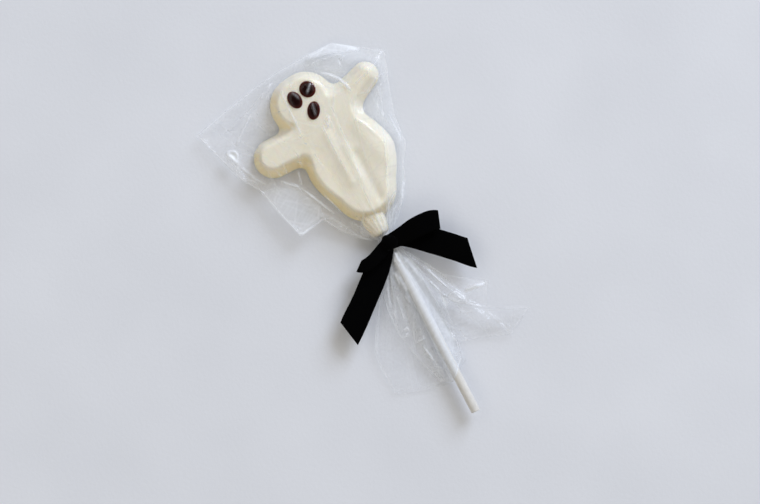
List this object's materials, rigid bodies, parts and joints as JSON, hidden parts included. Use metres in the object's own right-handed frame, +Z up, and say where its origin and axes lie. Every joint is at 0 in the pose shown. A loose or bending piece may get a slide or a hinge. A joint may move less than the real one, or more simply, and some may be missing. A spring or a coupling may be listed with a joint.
{
  "type": "ghost lollipop",
  "caption": "Moulded white chocolate ghost with dark chocolate eyes and mouth on a paper stick, in a clear gift bag closed at the neck with a black velvet ribbon bow, lying face up",
  "frame": {"origin": "On the surface that the bag lies on, under the middle of the ghost, below the line of the stick", "axes": "+Y runs along the stick towards the ghost's head, +Z points up out of the ghost's face, and +X points to the right of someone who looks down on the face"},
  "size_m": [0.0914, 0.1679, 0.0146],
  "materials": {
    "white_chocolate": "ivory moulded white chocolate with a satin sheen",
    "dark_chocolate": "glossy dark chocolate, domed",
    "paper": "rolled white paper",
    "velvet": "black velvet ribbon",
    "clear_film": "clear crinkled cellophane film"
  },
  "bodies": {
    "root": {"ghost_body": "white_chocolate", "eye_left": "dark_chocolate", "eye_right": "dark_chocolate", "mouth": "dark_chocolate", "stick": "paper", "ribbon_bow": "velvet", "bag": "clear_film"}
  },
  "joints": []
}
